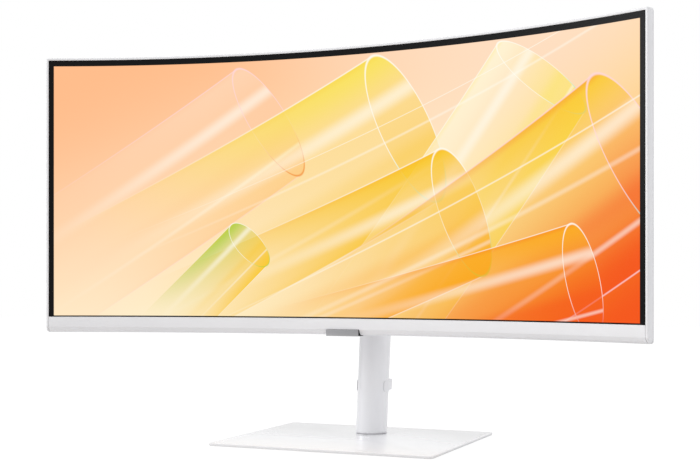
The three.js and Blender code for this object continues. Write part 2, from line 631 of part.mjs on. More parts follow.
function columnInside() {
  const wall = COLUMN_WALL + GAP;
  const foot = cut(leaned(columnBar(wall, 2.7, 14)), roundBar(6.3, 0, 30));
  place(columnFrame, 'column_foot', foot, darkSteel);
  const collar = cut(columnBar(0.3, 0.35, COLUMN_FOOT - GAP), roundBar(12.4, -1, 5));
  place(columnFrame, 'foot_collar', collar, whitePlastic);
  place(columnFrame, 'thrust_washer', ring(11, 6.3, 14.3, 15.3), darkSteel);
  const tube = cut(roundBar(8.5, 26, 200, 0, 0, 24), roundBar(4.2, 30, 210, 0, 0, 24));
  place(columnFrame, 'gas_spring_cylinder', leaned(tube), darkSteel);
  place(columnFrame, 'gas_spring_rod', leaned(roundBar(3.6, 185, 361.9, 0, 0, 20)), steel);
  const slide = cut(block(-11.5, 11.5, -12, 12, 286, 361.9), roundBar(9.6, 280, 352, 0, 0, 24),
    roundBar(3.9, 340, 370, 0, 0, 20));
  place(columnFrame, 'carriage_block', leaned(slide), steel);
  place(columnFrame, 'glide_upper', leaned(columnBar(wall, 362.2, 371)), filmWhite);
  const lower = cut(columnBar(wall, 276, 285.7), roundBar(9.6, 270, 290, 0, 0, 24));
  place(columnFrame, 'glide_lower', leaned(lower), filmWhite);
}

// ---------------------------------------------------------------- base
function basePlate() {
  const chamfer = 0.6;
  const shape = roundedOutline(BASE_WIDTH - 2 * chamfer, BASE_DEPTH - 2 * chamfer, BASE_CORNER - chamfer);
  const plate = new THREE.ExtrudeGeometry(shape, {
    depth: BASE_THICKNESS - 2 * chamfer, bevelThickness: chamfer, bevelSize: chamfer,
    bevelSegments: 1, curveSegments: 6,
  });
  plate.translate(0, -COLUMN_Y, chamfer - BASE_THICKNESS);
  return cut(plate, roundBar(14, -10, -1.4), roundBar(3.6, -10, 10, 0, 0, 20));
}

function base() {
  place(columnFrame, 'base_plate', basePlate(), whiteGloss);
  const flange = roundBar(12, GAP, 2.1);
  const post = cut(join(flange, roundBar(6, 1, 22)), roundBar(3.3, -1, 13, 0, 0, 20));
  place(columnFrame, 'swivel_post', post, steel);
  const nut = cut(roundBar(10, 15.6, 21, 0, 0, 6), roundBar(6.3, 10, 30));
  place(columnFrame, 'swivel_nut', nut, darkSteel);
  const slot = block(-7, 7, -0.8, 0.8, -4, -2.4);
  const screw = cut(join(roundBar(10, -3.1, -1.7), roundBar(3, -2, 12, 0, 0, 20)), slot);
  place(columnFrame, 'base_screw', screw, steel);
  for (const [hand, x] of [['left', -1], ['right', 1]]) {
    for (const [end, y] of [['front', -1], ['back', 1]]) {
      const pad = raised(roundedOutline(36, 10, 4.9), -BASE_TOP, -BASE_THICKNESS - GAP);
      pad.translate(x * (BASE_WIDTH / 2 - 30), y * (BASE_DEPTH / 2 - 16) - COLUMN_Y, 0);
      place(columnFrame, `pad_${end}_${hand}`, pad, rubber);
    }
  }
}

// ---------------------------------------------------------------- build
displayModule();
place(screenFrame, 'middle_frame', middleFrame(), whitePlastic);
place(screenFrame, 'chin_bezel', chinBezel(), whitePlastic);
place(screenFrame, 'rear_cover', rearCover(), whitePlastic);
electronics();
controls();
tiltHinge();
columnShells();
place(columnFrame, 'column_cap', columnCap(), whiteMetal);
place(columnFrame, 'cable_clip', cableClip(), whitePlastic);
columnInside();
base();

export default monitor;
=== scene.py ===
"""Curved desktop monitor: the looks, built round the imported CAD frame."""

import json
import math

import bmesh
import bpy
import numpy as np
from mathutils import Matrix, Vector

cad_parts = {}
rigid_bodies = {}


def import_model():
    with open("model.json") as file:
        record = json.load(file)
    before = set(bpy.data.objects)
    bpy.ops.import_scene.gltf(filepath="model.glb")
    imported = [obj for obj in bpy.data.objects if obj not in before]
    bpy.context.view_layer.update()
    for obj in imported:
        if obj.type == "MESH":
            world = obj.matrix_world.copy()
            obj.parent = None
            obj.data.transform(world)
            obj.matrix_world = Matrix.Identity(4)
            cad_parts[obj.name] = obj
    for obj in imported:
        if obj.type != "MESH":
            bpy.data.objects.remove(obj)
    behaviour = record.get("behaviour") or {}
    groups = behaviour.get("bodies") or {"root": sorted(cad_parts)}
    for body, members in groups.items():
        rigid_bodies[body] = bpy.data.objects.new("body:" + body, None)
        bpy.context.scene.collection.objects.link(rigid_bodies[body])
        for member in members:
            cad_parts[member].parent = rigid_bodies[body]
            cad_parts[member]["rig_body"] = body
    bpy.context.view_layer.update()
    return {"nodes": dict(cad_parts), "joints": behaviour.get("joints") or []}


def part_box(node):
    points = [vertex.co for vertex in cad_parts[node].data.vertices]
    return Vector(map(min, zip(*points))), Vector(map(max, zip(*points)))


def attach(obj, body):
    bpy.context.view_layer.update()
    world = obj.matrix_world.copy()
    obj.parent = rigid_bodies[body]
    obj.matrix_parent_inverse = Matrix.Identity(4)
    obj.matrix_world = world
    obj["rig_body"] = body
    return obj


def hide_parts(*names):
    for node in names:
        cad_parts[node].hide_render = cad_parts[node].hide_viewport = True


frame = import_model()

# ------------------------------------------------------------------ driving dimensions, in mm
MM = 0.001
RADIUS = 1000.0            # curve of the panel's front
PICTURE_WIDTH = 797.2
PICTURE_HEIGHT = 333.7
BORDER_BESIDE = 6.8        # black borders round the picture
BORDER_ABOVE = 7.6
BORDER_BELOW = 1.5
HEAD_HALF = 408.7
HEAD_TOP = 177.8
HEAD_BOTTOM = -189.5
RIM_FRONT = -0.4
RIM_DEPTH = 10.5
RIM_WALL = 3.0
CHIN_FOLD = -182.4
GAP = 0.3
WALL = 2.2
CONTROL_HALF = 22.3
CONTROL_ROOM = CONTROL_HALF + 0.5    # half width of the notch that it sits in
CONTROL_BOTTOM = -190.8
COLUMN_RADIUS = 21.0
COLUMN_WALL = 2.0
COLUMN_LEAN = 0.108
COLUMN_FOOT = 1.6
COLUMN_TOP = 384.0
SEAM_Y = -3.5
PIVOT_Y = 84.0
CLIP_BOTTOM = 55.7
CLIP_HEIGHT = 14.4
CLIP_BAND = 0.9            # thickness of the clip's arms
CLIP_WALL = 2.3
CLIP_PASSAGE = (25.4, 8.5)  # width and depth of its loop
CLIP_FRONT = -10.0         # the clip's arms end this far ahead of the column's middle
CLIP_ROUND = (3.4, 3.6)    # depth and height over which their ends are rounded
BASE_THICKNESS = 3.2
BASE_SIZE = (300, 248)
BASE_CORNER = 5
BASE_MIDDLE = (0, -55.8)   # from the column's foot
ROUND_STEPS = 120          # sides of the column's round parts
PANEL_HALF = PICTURE_WIDTH / 2 + BORDER_BESIDE
PANEL_TOP = PICTURE_HEIGHT / 2 + BORDER_ABOVE
PANEL_BOTTOM = -PICTURE_HEIGHT / 2 - BORDER_BELOW

JOINT = {joint["name"]: joint for joint in frame["joints"]}
TILT_AXIS = Vector(JOINT["tilt"]["pos_m"])
HEAD_ORIGIN = TILT_AXIS - Vector((0, PIVOT_Y * MM, 0))
COLUMN_ORIGIN = Vector(JOINT["swivel"]["pos_m"])


# ------------------------------------------------------------------ camera
CAMERA_PLACE = (625.3, -1435.9, -119.4)     # from the middle of the screen's front
CAMERA_TURN = 23.19
LENS = 63.17
LENS_LIFT = 0.0664


def add_camera():
    """The photograph's viewpoint: level, from the right, with the horizon lifted by a lens shift."""
    data = bpy.data.cameras.new("camera")
    data.sensor_width = 36
    data.lens = LENS
    data.shift_y = LENS_LIFT
    camera = bpy.data.objects.new("camera", data)
    bpy.context.scene.collection.objects.link(camera)
    camera.location = HEAD_ORIGIN + Vector(CAMERA_PLACE) * MM
    camera.rotation_euler = (math.pi / 2, 0, math.radians(CAMERA_TURN))
    bpy.context.scene.camera = camera


# ------------------------------------------------------------------ node helpers
class Signal:
    """A value inside a node tree that can be used in plain arithmetic."""

    def __init__(self, tree, socket):
        self.tree = tree
        self.socket = socket

    def op(self, kind, *others):
        node = self.tree.nodes.new("ShaderNodeMath")
        node.operation = kind
        for slot, value in zip(node.inputs, (self, *others)):
            plug(self.tree, value, slot)
        return Signal(self.tree, node.outputs[0])

    def __add__(self, other):
        return self.op("ADD", other)

    def __sub__(self, other):
        return self.op("SUBTRACT", other)

    def __mul__(self, other):
        return self.op("MULTIPLY", other)

    def __truediv__(self, other):
        return self.op("DIVIDE", other)

    def __pow__(self, other):
        return self.op("POWER", other)

    def ramp(self, low, high):
        """Rises smoothly from 0 at low to 1 at high; the other way round where low is above high."""
        node = self.tree.nodes.new("ShaderNodeMapRange")
        node.interpolation_type = "SMOOTHSTEP"
        plug(self.tree, self, node.inputs["Value"])
        plug(self.tree, low, node.inputs["From Min"])
        plug(self.tree, high, node.inputs["From Max"])
        return Signal(self.tree, node.outputs[0])

    def bell(self, width):
        """1 where the value is 0, falling to 0 over width on both sides."""
        return self.op("ABSOLUTE").ramp(width, 0.0)


def plug(tree, value, slot):
    if isinstance(value, Signal):
        tree.links.new(value.socket, slot)
    elif isinstance(value, bpy.types.NodeSocket):
        tree.links.new(value, slot)
    elif isinstance(value, (tuple, list)) and slot.type == "RGBA" and len(value) == 3:
        slot.default_value = (*value, 1.0)
    else:
        slot.default_value = value


def new_node(tree, kind, **inputs):
    node = tree.nodes.new(kind)
    for name, value in inputs.items():
        plug(tree, value, node.inputs[name.replace("_", " ")])
    return node


def blend_colours(tree, share, first, second):
    node = tree.nodes.new("ShaderNodeMix")
    node.data_type = "RGBA"
    plug(tree, share, node.inputs[0])
    plug(tree, first, node.inputs[6])
    plug(tree, second, node.inputs[7])
    return node.outputs[2]


def new_material(name):
    material = bpy.data.materials.new(name)
    material.use_nodes = True
    tree = material.node_tree
    tree.nodes.clear()
    shader = tree.nodes.new("ShaderNodeBsdfPrincipled")
    output = tree.nodes.new("ShaderNodeOutputMaterial")
    tree.links.new(shader.outputs[0], output.inputs[0])
    return material, tree, shader


def place_of(tree, scale=(1, 1, 1)):
    """Object coordinates, stretched by scale."""
    mapping = new_node(tree, "ShaderNodeMapping", Scale=scale)
    coordinates = tree.nodes.new("ShaderNodeTexCoord")
    tree.links.new(coordinates.outputs["Object"], mapping.inputs["Vector"])
    return mapping.outputs[0]


def noise(tree, size_mm, detail=2.0, scale=(1, 1, 1)):
    node = new_node(tree, "ShaderNodeTexNoise", Scale=1 / (size_mm * MM), Detail=detail)
    tree.links.new(place_of(tree, scale), node.inputs["Vector"])
    return Signal(tree, node.outputs[0])


def surface(name, colour, roughness, grain_mm=0.5, grain=0.05, tone=0.03, metallic=0.0, coat=0.0,
            stretch=(1, 1, 1), coat_roughness=0.08, edge_wear_and_highlight=0.0, ior=1.5):
    """A moulded, painted or machined finish: colour drift, uneven gloss, fine grain, and edges lightened
    both as wear and as a painted highlight.
    """
    material, tree, shader = new_material(name)
    drift = noise(tree, 60, 3)
    fine = noise(tree, grain_mm, 3, stretch)
    second = tuple(channel * (1 - tone) for channel in colour)
    base = blend_colours(tree, drift.ramp(0.3, 0.7), colour, second)
    if edge_wear_and_highlight:
        bevel = new_node(tree, "ShaderNodeBevel", Radius=0.6 * MM)
        geometry = tree.nodes.new("ShaderNodeNewGeometry")
        dot = tree.nodes.new("ShaderNodeVectorMath")
        dot.operation = "DOT_PRODUCT"
        tree.links.new(bevel.outputs[0], dot.inputs[0])
        tree.links.new(geometry.outputs["Normal"], dot.inputs[1])
        # Painted highlight and wear: edges that the bevel finds are made lighter, whichever way the light
        # falls.
        edge = Signal(tree, dot.outputs["Value"]).ramp(0.995, 0.9) * fine.ramp(0.4, 0.65) * edge_wear_and_highlight
        worn_and_highlit = tuple(min(1.0, channel * 1.5 + 0.05) for channel in colour)
        base = blend_colours(tree, edge, base, worn_and_highlit)
    plug(tree, base, shader.inputs["Base Color"])
    plug(tree, fine * 0.10 + drift * 0.08 + (roughness - 0.09), shader.inputs["Roughness"])
    shader.inputs["Metallic"].default_value = metallic
    shader.inputs["IOR"].default_value = ior
    shader.inputs["Coat Weight"].default_value = coat
    shader.inputs["Coat Roughness"].default_value = coat_roughness
    bump = new_node(tree, "ShaderNodeBump", Strength=grain, Distance=0.05 * MM, Height=fine)
    tree.links.new(bump.outputs[0], shader.inputs["Normal"])
    return material


def srgb(red, green, blue):
    """A screen colour, 0 to 255, as the linear values that shaders take."""
    def linear(level):
        share = level / 255
        return share / 12.92 if share <= 0.04045 else ((share + 0.055) / 1.055) ** 2.4
    return linear(red), linear(green), linear(blue)


# ------------------------------------------------------------------ the picture on the screen
PEACH = srgb(255, 188, 138)
CREAM = srgb(255, 243, 210)
APRICOT = srgb(255, 220, 190)
LEMON = srgb(248, 226, 84)
GOLD = srgb(248, 200, 36)
HONEY = srgb(250, 170, 20)
FLAME = srgb(244, 84, 6)
LIME = srgb(178, 206, 60)
WHITE = srgb(255, 252, 240)
ROSE = srgb(255, 214, 214)
RED = srgb(240, 92, 52)
CYAN = srgb(84, 222, 190)

# Open tubes of tinted glass, back to front: the middle of the open end, the direction that the tube
# runs in from there, its half width, the half depth of the open end and the length over which it fades,
# all in half picture heights and degrees; then the tints of its two flanks, how dense they are, and the
# colours of the rim.
GLASS_TUBES = [
    ((-0.62, 0.52), 213, 0.50, 0.15, 2.6, APRICOT, PEACH, 0.60, ROSE, RED),
    ((0.52, 0.42), 207, 0.62, 0.20, 3.0, LEMON, GOLD, 0.95, WHITE, CYAN),
    ((1.62, 0.70), 232, 0.44, 0.11, 2.9, CREAM, LEMON, 0.90, WHITE, CYAN),
    ((0.98, -0.22), 202, 0.50, 0.17, 2.7, GOLD, HONEY, 1.00, WHITE, LIME),
    ((2.36, 0.10), 211, 0.66, 0.20, 3.0, GOLD, FLAME, 1.00, ROSE, CYAN),
    ((-0.78, -0.44), 224, 0.22, 0.10, 1.1, LIME, GOLD, 0.95, WHITE, LIME),
    ((1.95, -0.72), 194, 0.40, 0.13, 2.6, HONEY, FLAME, 1.00, WHITE, RED),
]
# Thin bright streaks: offset across them, tilt, width and strength.
LIGHT_STREAKS = [
    (-0.52, 24, 0.010, 0.6), (0.16, 22, 0.016, 0.4), (0.30, 21, 0.005, 0.7), (-0.80, 23, 0.03, 0.3)]
PICTURE_BLUR = 0.15         # over which the picture's edge fades into the black border, in mm


def glass_tube(tree, p, q, under, centre, way, half, depth, length, first, second, density, rim, glint):
    """Lays one open glass tube over the picture so far."""
    cosine, sine = math.cos(math.radians(way)), math.sin(math.radians(way))
    along = (p - centre[0]) * cosine + (q - centre[1]) * sine
    across = ((q - centre[1]) * cosine - (p - centre[0]) * sine) / half
    distance = across.op("ABSOLUTE")
    inside = distance.ramp(1.006, 0.994)
    bow = (across * across * -1.0 + 1.0).op("MAXIMUM", 0.0) ** 0.5
    near_end = (along + bow * depth).ramp(-0.004, 0.004)
    fade = along.ramp(length, 0.0)
    tint = blend_colours(tree, across.ramp(-0.8, 0.9), first, second)
    thick = distance.ramp(0.35, 1.0) * 0.55 + 0.45
    body = inside * near_end * fade * thick * density
    colour = blend_colours(tree, body, under, tint)
    reach = ((along / depth) * (along / depth) + across * across) ** 0.5
    mouth = reach.ramp(1.004, 0.996)
    colour = blend_colours(tree, mouth * across.ramp(-1.0, 0.8) * 0.5 * density, colour, second)
    sheen = (across + 0.42).bell(0.16) * 0.55 + (across - 0.58).bell(0.05) * 0.45
    colour = blend_colours(tree, sheen * inside * near_end * fade, colour, WHITE)
    shade = (across - 0.30).bell(0.22) * 0.35 + distance.ramp(0.90, 1.0) * 0.3
    colour = blend_colours(tree, shade * inside * near_end * fade * density, colour, second)
    edge = (distance - 1.0).bell(0.014) * near_end * fade
    colour = blend_colours(tree, edge * 0.8, colour, rim)
    lip = blend_colours(tree, across.ramp(0.1, 0.9), rim, glint)
    return blend_colours(tree, (reach - 1.0).bell(0.030) * 0.9, colour, lip)


def picture(tree, p, q):
    """A plain abstract of glass tubes on a warm ground; p and q run from the middle of the screen."""
    ground = blend_colours(tree, (p * 0.40 - q).ramp(-1.8, 0.9), PEACH, CREAM)
    colour = blend_colours(tree, (p * 0.6 + q).ramp(0.2, 1.9), ground, APRICOT)
    warm = blend_colours(tree, (p * 0.7 - q).ramp(0.9, 2.6), GOLD, FLAME)
    colour = blend_colours(tree, (p * 0.5 - q * 0.8).ramp(0.0, 1.7), colour, warm)
    for tube in GLASS_TUBES:
        colour = glass_tube(tree, p, q, colour, *tube)
    for offset, tilt, width, strength in LIGHT_STREAKS:
        cosine, sine = math.cos(math.radians(tilt)), math.sin(math.radians(tilt))
        band = (q * cosine - p * sine - offset).bell(width) * strength
        fade = (p * cosine + q * sine).ramp(-2.2, 0.6)
        colour = blend_colours(tree, band * fade, colour, WHITE)
    return colour


def screen_material():
    """The lit panel: the picture inside a black border, under a matt anti-glare surface."""
    material, tree, shader = new_material("screen")
    coordinates = tree.nodes.new("ShaderNodeUVMap")
    split = tree.nodes.new("ShaderNodeSeparateXYZ")
    tree.links.new(coordinates.outputs[0], split.inputs[0])
    across = Signal(tree, split.outputs[0])
    up = Signal(tree, split.outputs[1])
    half_height = PICTURE_HEIGHT / 2
    half_width = PICTURE_WIDTH / 2
    lit_across = across.op("ABSOLUTE").ramp(half_width + PICTURE_BLUR, half_width - PICTURE_BLUR)
    lit_up = up.op("ABSOLUTE").ramp(half_height + PICTURE_BLUR, half_height - PICTURE_BLUR)
    lit = lit_across * lit_up
    colour = picture(tree, across / half_height, up / half_height)
    black = blend_colours(tree, noise(tree, 2.0).ramp(0.3, 0.7), srgb(8, 8, 9), srgb(12, 12, 14))
    plug(tree, black, shader.inputs["Base Color"])
    plug(tree, colour, shader.inputs["Emission Color"])
    plug(tree, lit, shader.inputs["Emission Strength"])
    grain = noise(tree, 0.25, 2)
    plug(tree, grain * 0.08 + 0.33, shader.inputs["Roughness"])
    shader.inputs["Specular IOR Level"].default_value = 0.12
    bump = new_node(tree, "ShaderNodeBump", Strength=0.04, Distance=0.02 * MM, Height=grain)
    tree.links.new(bump.outputs[0], shader.inputs["Normal"])
    return material


# ------------------------------------------------------------------ finishes
def board_material():
    """Green solder mask with copper tracks under it."""
    material, tree, shader = new_material("circuit_board")
    tracks = new_node(tree, "ShaderNodeTexBrick", Scale=1 / (9 * MM), Color1=(1, 1, 1),
                      Color2=(0.8, 0.8, 0.8), Mortar=(0, 0, 0), Mortar_Size=0.06)
    tree.links.new(place_of(tree), tracks.inputs["Vector"])
    line = Signal(tree, tracks.outputs["Fac"])
    mask = noise(tree, 4, 2).ramp(0.4, 0.6)
    base = blend_colours(tree, line * mask, srgb(24, 84, 52), srgb(78, 128, 70))
    plug(tree, base, shader.inputs["Base Color"])
    plug(tree, line * 0.15 + 0.38, shader.inputs["Roughness"])
    bump = new_node(tree, "ShaderNodeBump", Strength=0.25, Distance=0.06 * MM, Height=line * mask)
    tree.links.new(bump.outputs[0], shader.inputs["Normal"])
    return material


def clear_material():
    """Clear acrylic with faint smears in its gloss."""
    material, tree, shader = new_material("clear_acrylic")
    smear = noise(tree, 12, 3)
    tint = blend_colours(tree, smear, srgb(226, 236, 240), srgb(244, 250, 250))
    plug(tree, tint, shader.inputs["Base Color"])
    plug(tree, smear * 0.12 + 0.02, shader.inputs["Roughness"])
    shader.inputs["Transmission Weight"].default_value = 0.9
    shader.inputs["IOR"].default_value = 1.49
    bump = new_node(tree, "ShaderNodeBump", Strength=0.05, Distance=0.05 * MM, Height=smear)
    tree.links.new(bump.outputs[0], shader.inputs["Normal"])
    return material


def finishes():
    """One finish for each of the record's material slots."""
    brushed = (0.04, 1, 1)
    return {
        "white_plastic": surface("white_plastic", srgb(232, 232, 235), 0.38, 0.6, 0.05, 0.02),
        "white_gloss": surface("white_gloss", srgb(236, 236, 239), 0.24, 0.8, 0.02, 0.015, coat=1.0,
                               coat_roughness=0.04),
        "white_metal": surface("white_metal", srgb(238, 238, 241), 0.30, 0.5, 0.04, 0.02, coat=0.6,
                               coat_roughness=0.12),
        "panel_glass": screen_material(),
        "clear_acrylic": clear_material(),
        "film_white": surface("film_white", srgb(246, 246, 240), 0.5, 1.5, 0.05),
        "steel": surface("steel", srgb(176, 178, 182), 0.34, 0.4, 0.15, 0.08, metallic=1.0,
                         stretch=brushed),
        "dark_steel": surface("dark_steel", srgb(86, 88, 92), 0.42, 0.5, 0.2, 0.1, metallic=0.9,
                              edge_wear_and_highlight=0.4),
        # The badge's lightened edges are a painted highlight on its bevel.
        "badge_metal": surface("badge_metal", srgb(182, 182, 185), 0.34, 0.3, 0.2, 0.06, metallic=1.0,
                               stretch=brushed, edge_wear_and_highlight=0.3),
        "black_plastic": surface("black_plastic", srgb(9, 9, 10), 0.46, 0.4, 0.25, 0.3, edge_wear_and_highlight=0.05,
                                 ior=1.3),
        "circuit_board": board_material(),
        "rubber": surface("rubber", srgb(40, 40, 42), 0.78, 0.7, 0.4, 0.15, edge_wear_and_highlight=0.2),
    }


# ------------------------------------------------------------------ shapes, in mm
# A shape is (points, faces): an array of corners and the lists of corners round each face.
def rounded_rectangle(width, depth, radius, steps=8, centre=(0, 0)):
    """A plan outline, anticlockwise."""
    points = []
    for quarter, (side, end) in enumerate(((1, 1), (-1, 1), (-1, -1), (1, -1))):
        middle = (centre[0] + side * (width / 2 - radius), centre[1] + end * (depth / 2 - radius))
        for step in range(steps + 1):
            angle = (quarter + step / steps) * math.pi / 2
            points.append((middle[0] + radius * math.cos(angle), middle[1] + radius * math.sin(angle)))
    return points


def circle(radius, steps=48):
    turns = [2 * math.pi * step / steps for step in range(steps)]
    return [(radius * math.cos(turn), radius * math.sin(turn)) for turn in turns]


def filleted(corners, steps=5):
    """A closed outline whose corners, given as (a, b, setback), are rounded off over that setback."""
    points = []
    count = len(corners)
    for k, (a, b, setback) in enumerate(corners):
        here = Vector((a, b))
        if not setback:
            points.append((a, b))
            continue
        before = here + (Vector(corners[k - 1][:2]) - here).normalized() * setback
        after = here + (Vector(corners[(k + 1) % count][:2]) - here).normalized() * setback
        for step in range(steps + 1):
            share = step / steps
            point = before.lerp(here, share).lerp(here.lerp(after, share), share)
            points.append((point.x, point.y))
    return points


def inset(outline, distance):
    """An outline moved inwards by a small distance."""
    flat = np.array(outline)
    ahead = np.roll(flat, -1, axis=0) - flat
    ahead /= np.linalg.norm(ahead, axis=1, keepdims=True)
    normal = np.stack([-ahead[:, 1], ahead[:, 0]], axis=1)
    both = normal + np.roll(normal, 1, axis=0)
    both /= np.linalg.norm(both, axis=1, keepdims=True)
    stretch = 1 / np.maximum(0.3, (both * normal).sum(axis=1, keepdims=True))
    return flat + both * stretch * distance


def loft(rings, closed=True):
    """Skins a row of rings, or of open lines where it isn't closed, each with as many points."""
    rows = np.array(rings, float)
    levels, count = rows.shape[:2]
    faces = []
    for level in range(levels - 1):
        start, above = level * count, (level + 1) * count
        for k in range(count if closed else count - 1):
            after = (k + 1) % count
            faces.append([start + k, start + after, above + after, above + k])
    if closed:
        faces.append(list(range(count))[::-1])
        faces.append([(levels - 1) * count + k for k in range(count)])
    return rows.reshape(-1, 3), faces


def prism(outline, low, high, edge=0.0, steps=3, top_edge=None):
    """An outline raised from low to high, with its two rims rounded over edge."""
    top_edge = edge if top_edge is None else top_edge
    levels = []
    if edge:
        for step in range(steps):
            angle = step / steps * math.pi / 2
            levels.append((low + edge * (1 - math.cos(angle)), edge * (1 - math.sin(angle))))
    levels.append((low + edge, 0))
    levels.append((high - top_edge, 0))
    if top_edge:
        for step in range(steps - 1, -1, -1):
            angle = step / steps * math.pi / 2
            levels.append((high - top_edge * (1 - math.cos(angle)), top_edge * (1 - math.sin(angle))))
    rings = []
    for height, back in levels:
        ring = inset(outline, back) if back else np.array(outline)
        rings.append(np.column_stack([ring, np.full(len(ring), height)]))
    return loft(rings)


def block(x0, x1, y0, y1, z0, z1):
    return prism([(x0, y0), (x1, y0), (x1, y1), (x0, y1)], z0, z1)


def mapped(shape, change):
    points, faces = shape
    return np.array([change(*point) for point in points]), faces


def lying_along_x(shape):
    """Turns Z into X, and X into Y."""
    return shape[0][:, [2, 0, 1]], shape[1]


def lying_along_y(shape):
    """Turns Z into Y, and Y into Z, for outlines drawn as seen from the front."""
    return shape[0][:, [0, 2, 1]], shape[1]


def leaned(shape):
    """Leans an upright shape back with the column."""
    return mapped(shape, lambda x, y, z: (x, y + COLUMN_LEAN * z, z))


def bend(u, t, z):
    angle = u / RADIUS
    return (RADIUS + t) * math.sin(angle), (RADIUS + t) * math.cos(angle) - RADIUS, z


def bent(shape):
    return mapped(shape, bend)


def as_object(shape, name, scale=1.0, offset=(0, 0, 0)):
    """A mesh object of a shape, with merged corners and its faces turned outwards."""
    mesh = bpy.data.meshes.new(name)
    points = shape[0] * scale + np.array(offset)
    mesh.from_pydata([tuple(point) for point in points], [], [list(face) for face in shape[1]])
    work = bmesh.new()
    work.from_mesh(mesh)
    bmesh.ops.remove_doubles(work, verts=work.verts, dist=1e-4 * scale)
    bmesh.ops.dissolve_degenerate(work, edges=work.edges, dist=1e-5 * scale)
    bmesh.ops.recalc_face_normals(work, faces=work.faces)
    work.to_mesh(mesh)
    work.free()
    piece = bpy.data.objects.new(name, mesh)
    bpy.context.scene.collection.objects.link(piece)
    return piece


def combined(body, tools, operation):
    """Cuts tools from a shape, or joins them to it."""
    made = [as_object(shape, "work") for shape in (body, *tools)]
    for tool in made[1:]:
        modifier = made[0].modifiers.new("step", "BOOLEAN")
        modifier.operation = operation
        modifier.solver = "MANIFOLD"
        modifier.object = tool
    result = made[0].evaluated_get(bpy.context.evaluated_depsgraph_get()).data
    points = np.array([vertex.co for vertex in result.vertices], float)
    faces = [list(polygon.vertices) for polygon in result.polygons]
    for used in made:
        bpy.data.objects.remove(used)
    return points, faces


def cut(body, *tools):
    return combined(body, tools, "DIFFERENCE")


def join(body, *tools):
    return combined(body, tools, "UNION")


# ------------------------------------------------------------------ pieces
HEAD = tuple(HEAD_ORIGIN)
COLUMN = tuple(COLUMN_ORIGIN)
FINISH = {}
SHARP = math.radians(32)      # edges that turn by more than this stay sharp or are rounded


def add_piece(name, shape, origin, body, slot, node=None, bevel=0.0):
    """Makes a finished piece of a shape, riding on a body, in place of a CAD node if one is named."""
    piece = as_object(shape, name, MM, origin)
    finish_piece(piece, body, slot, node, bevel)
    return piece


def finish_piece(piece, body, slot, node, bevel):
    for polygon in piece.data.polygons:
        polygon.use_smooth = True
    piece.data.set_sharp_from_angle(angle=SHARP)
    if bevel:
        rounding = piece.modifiers.new("rounding", "BEVEL")
        rounding.width = bevel * MM
        rounding.segments = 2
        rounding.limit_method = "ANGLE"
        rounding.angle_limit = SHARP
        even = piece.modifiers.new("even", "WEIGHTED_NORMAL")
        even.keep_sharp = False
    piece.data.materials.clear()
    piece.data.materials.append(FINISH[slot])
    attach(piece, body)
    if node:
        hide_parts(node)


def refined(node, bevel):
    """A CAD node's own shape with its flat faces made whole and its edges rounded."""
    source = frame["nodes"][node]
    mesh = source.data.copy()
    work = bmesh.new()
    work.from_mesh(mesh)
    bmesh.ops.remove_doubles(work, verts=work.verts, dist=1e-6)
    bmesh.ops.dissolve_limit(work, angle_limit=math.radians(0.5), verts=work.verts, edges=work.edges)
    bmesh.ops.recalc_face_normals(work, faces=work.faces)
    work.to_mesh(mesh)
    work.free()
    piece = bpy.data.objects.new(node + "_made", mesh)
    bpy.context.scene.collection.objects.link(piece)
    finish_piece(piece, source["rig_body"], SLOT_OF[node], node, bevel)


# ------------------------------------------------------------------ display
CURVE_STEPS = 120


def spread(low, high, steps):
    return [low + (high - low) * step / steps for step in range(steps + 1)]


def swept(section, half):
    """A (t, z) section run along the screen's curve from -half to half."""
    rings = [[(u, t, z) for t, z in section] for u in spread(-half, half, CURVE_STEPS)]
    return bent(loft(rings))


def panel():
    """The lit panel: a thin curved sheet whose front carries the picture."""
    edge, thickness = 0.2, 1.6
    section = filleted([(0, PANEL_BOTTOM, edge), (0, PANEL_TOP, edge), (thickness, PANEL_TOP, edge),
                        (thickness, PANEL_BOTTOM, edge)], 2)
    shape = swept(section, PANEL_HALF)
    piece = add_piece("screen_panel", shape, HEAD, "head", "panel_glass", "lcd_panel")
    piece.data.materials.append(FINISH["black_plastic"])
    layer = piece.data.uv_layers.new(name="flat")
    for polygon in piece.data.polygons:
        polygon.material_index = 0 if polygon.normal.y < -0.7 else 1
        for loop in polygon.loop_indices:
            place = (piece.data.vertices[piece.data.loops[loop].vertex_index].co - HEAD_ORIGIN) / MM
            layer.data[loop].uv = (math.atan2(place.x, place.y + RADIUS) * RADIUS, place.z)


def inner_sheet(node, name, edges, slot):
    """A curved layer behind the panel; edges are its front, back, bottom, top and half width."""
    t0, t1, low, high, half = edges
    section = filleted([(t0, low, 0.1), (t0, high, 0.1), (t1, high, 0.1), (t1, low, 0.1)], 2)
    add_piece(name, swept(section, half), HEAD, "head", slot, node)


def panel_layers():
    low, high, half = PANEL_BOTTOM, PANEL_TOP, PANEL_HALF
    guide_low = PANEL_BOTTOM + 4
    film = (1.9, 2.7, low + 1, high - 1, half - 1)
    guide = (3, 5.4, guide_low, high - 1.4, half - 1.4)
    mirror = (5.7, 6.1, low + 1, high - 1, half - 1)
    pan = (6.4, 7.1, low + 0.6, high - 0.6, half - 0.6)
    strip = (3, 5.4, low + 0.6, guide_low - GAP, half - 4)
    inner_sheet("optical_film_stack", "film_layers", film, "film_white")
    inner_sheet("light_guide_plate", "light_guide", guide, "clear_acrylic")
    inner_sheet("reflector_sheet", "reflector", mirror, "film_white")
    inner_sheet("panel_chassis", "chassis_pan", pan, "steel")
    inner_sheet("led_bar", "led_strip", strip, "film_white")


CHIN_KNEE = (2.2, CHIN_FOLD - 4.6)       # end of the chin's bevel, as (t, z)
CHIN_TOE = (5.6, HEAD_BOTTOM)            # start of the flat underside


